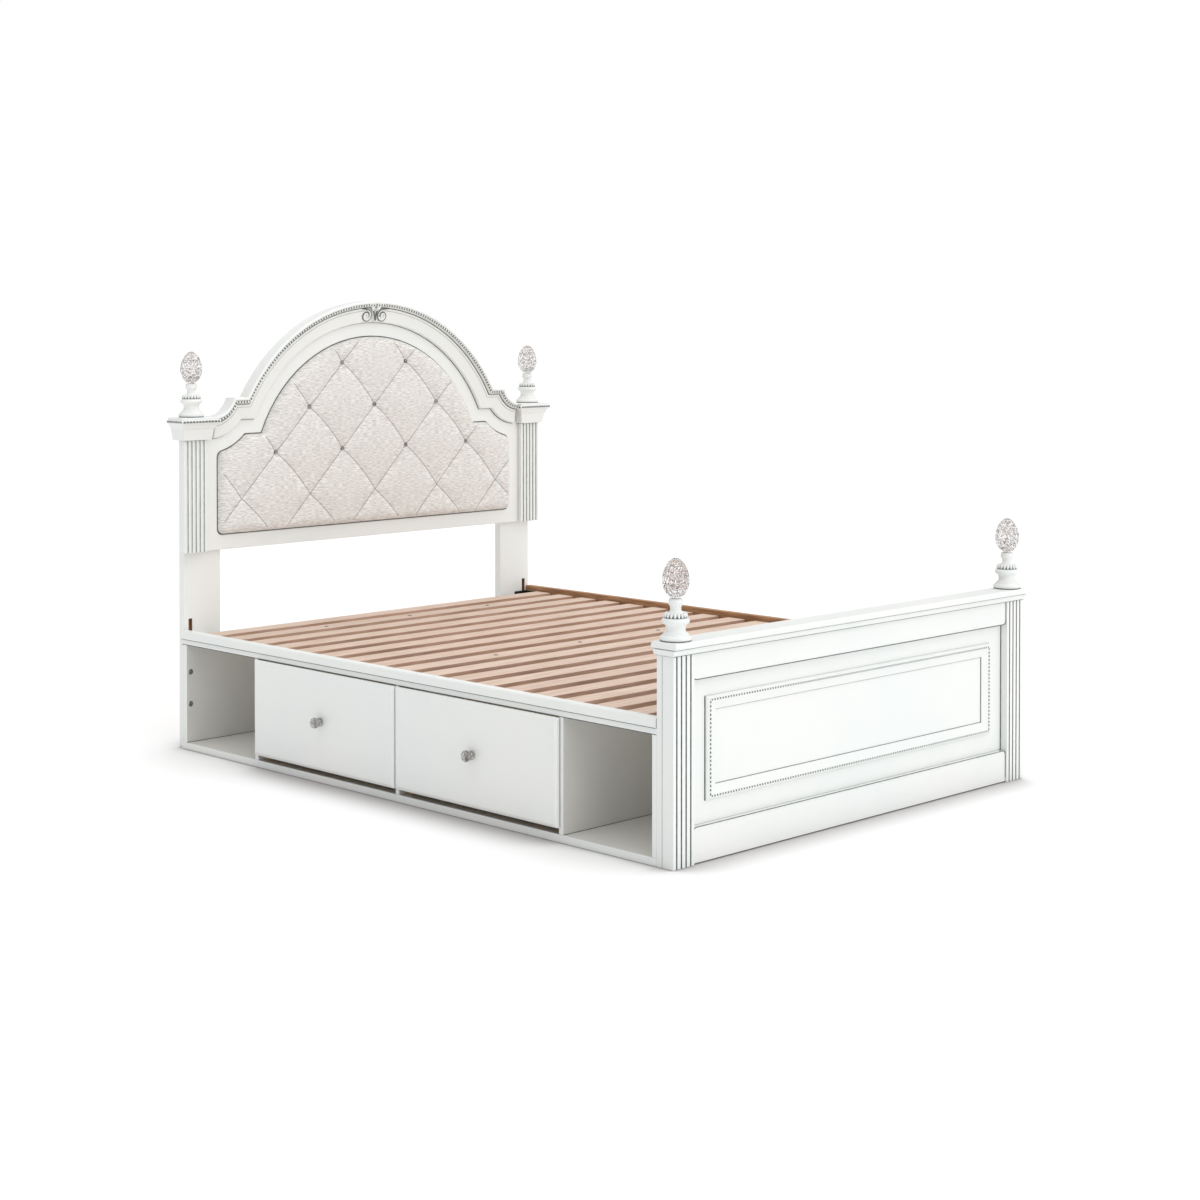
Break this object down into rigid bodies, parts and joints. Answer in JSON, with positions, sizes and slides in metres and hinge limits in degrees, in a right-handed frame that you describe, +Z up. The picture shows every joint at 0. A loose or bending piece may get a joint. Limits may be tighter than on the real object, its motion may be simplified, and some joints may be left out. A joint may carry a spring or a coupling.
{
  "type": "bed frame",
  "caption": "Full-size wooden storage bed with arched tufted headboard, panelled footboard, crystal-topped finials, side drawers, open cubbies and slats.",
  "frame": {"origin": "centre of the overall bounding box in plan, on the floor", "axes": "+Y from the footboard to the headboard, +Z up, the drawers open towards -X"},
  "size_m": [1.5113, 2.063, 1.3405],
  "materials": {
    "paint": "satin white paint with grey glaze in the grooves",
    "raw_wood": "unpainted, brown",
    "slats": "unpainted, pale",
    "fabric": "woven, warm light grey",
    "crystal": "clear faceted crystal",
    "knob": "polished",
    "steel": "black"
  },
  "bodies": {
    "bed_frame": {"capital_left": "paint", "capital_right": "paint", "crown_scroll_ornament": "paint", "drawer_runner_foot_side_foot": "raw_wood", "drawer_runner_foot_side_head": "raw_wood", "drawer_runner_head_side_foot": "raw_wood", "drawer_runner_head_side_head": "raw_wood", "finial_crystal_foot_left": "crystal", "finial_crystal_foot_right": "crystal", "finial_crystal_head_left": "crystal", "finial_crystal_head_right": "crystal", "finial_stem_foot_left": "paint", "finial_stem_foot_right": "paint", "finial_stem_head_left": "paint", "finial_stem_head_right": "paint", "foot_bottom_rail": "paint", "foot_cap_rail": "paint", "foot_panel": "paint", "foot_panel_moulding": "paint", "foot_post_left": "paint", "foot_post_right": "paint", "foot_top_rail": "paint", "headboard_backing_board": "raw_wood", "headboard_crown_moulding": "paint", "headboard_frame_board": "paint", "headboard_leg_left": "paint", "headboard_leg_right": "paint", "headboard_pad": "fabric", "pilaster_left": "paint", "pilaster_right": "paint", "rail_bracket_foot": "steel", "rail_bracket_head": "steel", "side_rail_right": "raw_wood", "slat_bearer_foot": "raw_wood", "slat_bearer_head": "raw_wood", "slat_bearer_middle": "raw_wood", "slat_ledger_right": "raw_wood", "slat_roll_foot": "slats", "slat_roll_head": "slats", "storage_back_panel": "paint", "storage_bottom_panel": "paint", "storage_divider_foot": "paint", "storage_divider_head": "paint", "storage_divider_middle": "paint", "storage_foot_end_panel": "paint", "storage_front_stretcher": "paint", "storage_head_end_panel": "paint", "storage_top_rail": "paint"},
    "drawer_foot": {"drawer_back_foot": "raw_wood", "drawer_bottom_foot": "raw_wood", "drawer_foot_side_foot": "raw_wood", "drawer_front_foot": "paint", "drawer_head_side_foot": "raw_wood", "drawer_knob_foot": "knob"},
    "drawer_head": {"drawer_back_head": "raw_wood", "drawer_bottom_head": "raw_wood", "drawer_foot_side_head": "raw_wood", "drawer_front_head": "paint", "drawer_head_side_head": "raw_wood", "drawer_knob_head": "knob"}
  },
  "joints": [
    {"name": "drawer_head_slide", "type": "slide", "parent": "bed_frame", "child": "drawer_head", "axis": [-1, 0, 0], "range_m": [0, 0.24]},
    {"name": "drawer_foot_slide", "type": "slide", "parent": "bed_frame", "child": "drawer_foot", "axis": [-1, 0, 0], "range_m": [0, 0.24]}
  ]
}
